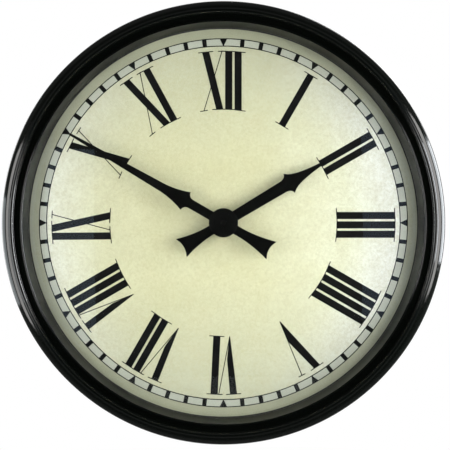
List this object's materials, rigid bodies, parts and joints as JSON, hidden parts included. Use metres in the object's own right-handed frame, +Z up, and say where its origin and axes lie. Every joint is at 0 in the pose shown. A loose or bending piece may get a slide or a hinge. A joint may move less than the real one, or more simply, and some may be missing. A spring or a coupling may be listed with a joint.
{
  "type": "schoolhouse wall clock",
  "caption": "Round schoolhouse wall clock: black stepped rim, domed glass, cream dial with Roman numerals, black barbed hands and a battery movement behind.",
  "frame": {"origin": "where the hand axis meets the wall", "axes": "+Y into the wall along the hand axis, +Z up, X right as seen from the front"},
  "size_m": [0.366, 0.057, 0.366],
  "materials": {
    "gloss_black_paint": "high gloss black enamel on pressed steel",
    "black_back_paint": "satin black enamel, lightly scuffed",
    "clear_glass": "clear domed glass",
    "black_rubber": "matt black rubber",
    "black_plastic": "fine-grained black moulding",
    "dial_cream": "aged cream enamel, mottled",
    "dial_black": "black dial ink",
    "hand_black": "satin black enamel",
    "screw_steel": "blackened and plated steel",
    "plate_steel": "zinc plated steel",
    "movement_plastic": "satin black moulding",
    "brass": "turned brass",
    "bearing_plastic": "off-white acetal",
    "gear_plastic": "natural acetal",
    "electrical_steel": "stamped electrical steel",
    "winding_copper": "enamelled copper wire",
    "board_green": "solder mask over glass fibre board",
    "chip_epoxy": "black epoxy drop",
    "contact_nickel": "nickel plated spring steel",
    "magnet_grey": "sintered magnet",
    "cell_jacket": "plain shrink jacket over a steel can"
  },
  "bodies": {
    "case": {"rim": "gloss_black_paint", "glass_gasket": "black_rubber", "glass": "clear_glass", "spacer_ring": "black_plastic", "dial_plate": "dial_cream", "dial_print": "dial_black", "back_pan": "black_back_paint", "case_screws": "screw_steel", "keyhole_plate": "plate_steel", "keyhole_rivets": "plate_steel", "movement_housing": "movement_plastic", "centre_bushing": "brass", "rubber_washer": "black_rubber", "brass_washer": "brass", "hex_nut": "brass", "train_plate": "bearing_plastic", "stator": "electrical_steel", "coil_core": "electrical_steel", "coil_bobbin": "bearing_plastic", "coil_winding": "winding_copper", "coil_screws": "screw_steel", "circuit_board": "board_green", "chip": "chip_epoxy", "crystal": "contact_nickel", "positive_contact": "contact_nickel", "negative_contact": "contact_nickel", "movement_cover": "movement_plastic"},
    "minute_motion": {"centre_wheel": "brass", "minute_hand": "hand_black", "minute_boss": "hand_black", "hand_nut": "hand_black"},
    "hour_motion": {"hour_wheel": "gear_plastic", "hour_hand": "hand_black", "hour_bush": "brass"},
    "setting_motion": {"setting_wheel": "gear_plastic", "setting_knob": "black_plastic"},
    "third_motion": {"third_wheel": "gear_plastic"},
    "second_motion": {"second_wheel": "gear_plastic"},
    "intermediate_motion": {"intermediate_wheel": "gear_plastic"},
    "rotor_motion": {"rotor_pinion": "gear_plastic", "rotor_magnet": "magnet_grey"},
    "battery": {"battery_can": "cell_jacket", "battery_cap": "contact_nickel"}
  },
  "joints": [
    {"name": "minute_hand_spin", "type": "hinge", "parent": "case", "child": "minute_motion", "pos_m": [0, 0, 0], "axis": [0, 1, 0], "continuous": true},
    {"name": "hour_hand_spin", "type": "hinge", "parent": "case", "child": "hour_motion", "pos_m": [0, 0, 0], "axis": [0, 1, 0], "continuous": true},
    {"name": "setting_knob_spin", "type": "hinge", "parent": "case", "child": "setting_motion", "pos_m": [-0.01159, 0, 0.00311], "axis": [0, 1, 0], "continuous": true},
    {"name": "third_wheel_spin", "type": "hinge", "parent": "case", "child": "third_motion", "pos_m": [0.01136, 0, 0.00099], "axis": [0, 1, 0], "continuous": true},
    {"name": "second_wheel_spin", "type": "hinge", "parent": "case", "child": "second_motion", "pos_m": [0, 0, 0], "axis": [0, 1, 0], "continuous": true},
    {"name": "intermediate_wheel_spin", "type": "hinge", "parent": "case", "child": "intermediate_motion", "pos_m": [0.00395, 0, 0.01085], "axis": [0, 1, 0], "continuous": true},
    {"name": "rotor_spin", "type": "hinge", "parent": "case", "child": "rotor_motion", "pos_m": [-0.00349, 0, 0.01356], "axis": [0, 1, 0], "continuous": true},
    {"name": "battery_slide", "type": "slide", "parent": "case", "child": "battery", "axis": [0, 1, 0], "range_m": [0, 0.04]}
  ],
  "couplings": [
    {"joint": "hour_hand_spin", "follows": "minute_hand_spin", "ratio": 0.083333},
    {"joint": "setting_knob_spin", "follows": "minute_hand_spin", "ratio": -0.33333},
    {"joint": "third_wheel_spin", "follows": "minute_hand_spin", "ratio": -8},
    {"joint": "second_wheel_spin", "follows": "minute_hand_spin", "ratio": 60},
    {"joint": "intermediate_wheel_spin", "follows": "minute_hand_spin", "ratio": -360},
    {"joint": "rotor_spin", "follows": "minute_hand_spin", "ratio": 1800}
  ]
}
